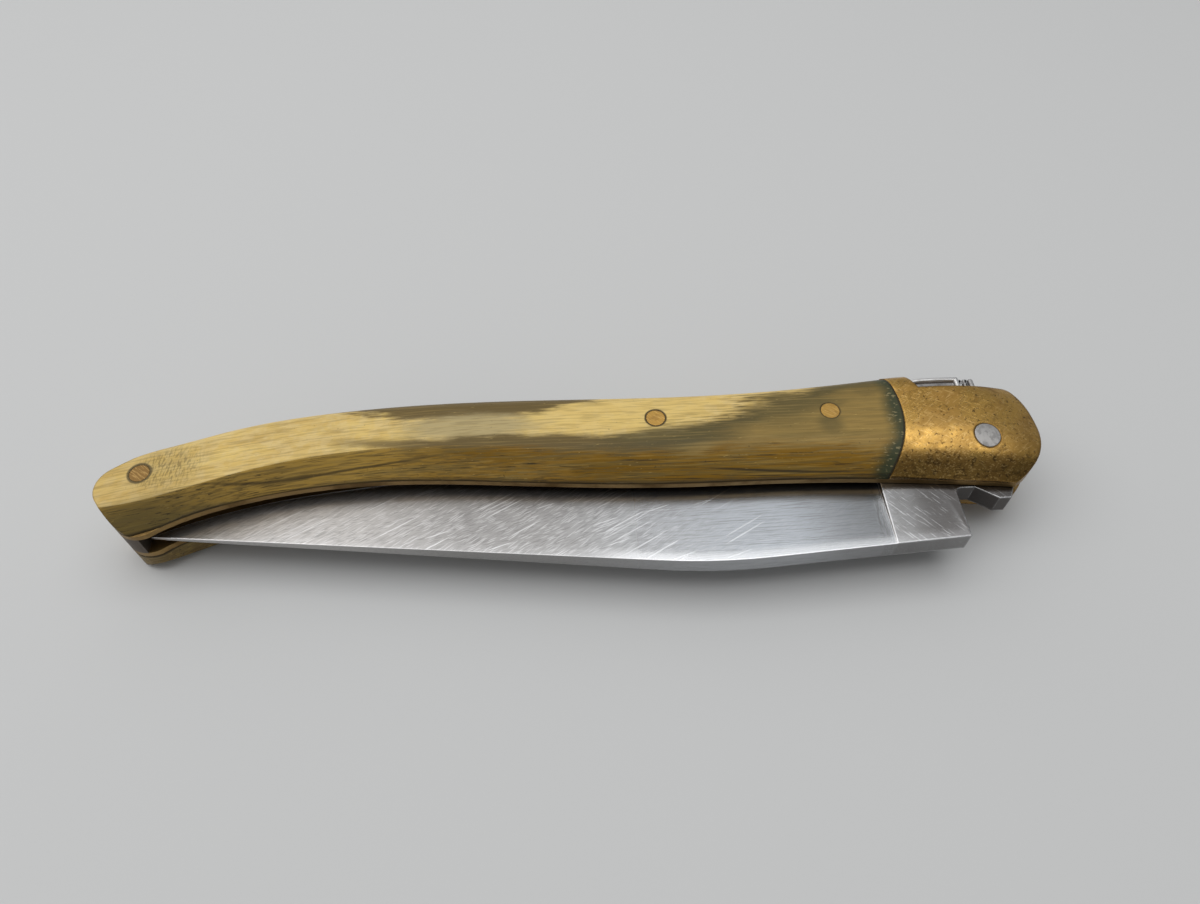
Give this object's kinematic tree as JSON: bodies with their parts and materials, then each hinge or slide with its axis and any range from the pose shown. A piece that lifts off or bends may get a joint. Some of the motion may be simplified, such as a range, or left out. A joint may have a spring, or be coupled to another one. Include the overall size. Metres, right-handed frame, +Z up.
{
  "type": "folding pocket knife",
  "caption": "Slim folding pocket knife with a curved horn handle, brass liners and bolsters, a steel back spring with a thumb piece, and a pointed blade that swings out on a pivot pin.",
  "frame": {"origin": "middle of the closed knife's box, on the face that it lies on", "axes": "+X along the handle to the bolster end, +Y to the back of the handle, +Z up out of the right side"},
  "size_m": [0.1182, 0.0266, 0.0125],
  "materials": {
    "blade_steel": "satin ground steel with fine scratches, flat grind and bare ricasso",
    "spring_steel": "polished spring steel, dulled by handling",
    "pivot_steel": "steel pin peened and filed flush, matte",
    "liner_brass": "thin brass sheet, browned with age",
    "bolster_brass": "aged brass with stains, pits and rubbed edges",
    "pin_brass": "brass wire peened and filed flush",
    "horn": "polished natural horn, cream to olive brown, with lengthwise fibres"
  },
  "bodies": {
    "handle": {"back_spring": "spring_steel", "spring_fly": "spring_steel", "right_liner": "liner_brass", "left_liner": "liner_brass", "right_bolster": "bolster_brass", "left_bolster": "bolster_brass", "right_scale": "horn", "left_scale": "horn", "right_front_rivet": "pin_brass", "left_front_rivet": "pin_brass", "right_bolster_rivet": "pin_brass", "left_bolster_rivet": "pin_brass", "pivot_pin": "pivot_steel", "middle_pin": "pin_brass", "tail_pin": "pin_brass"},
    "blade": {"blade": "blade_steel"}
  },
  "joints": [
    {"name": "blade_pivot", "type": "hinge", "parent": "handle", "child": "blade", "pos_m": [0.0516, 0.0002, 0.00625], "axis": [0, 0, 1], "range_deg": [0, 180], "deforming": ["back_spring"]}
  ]
}
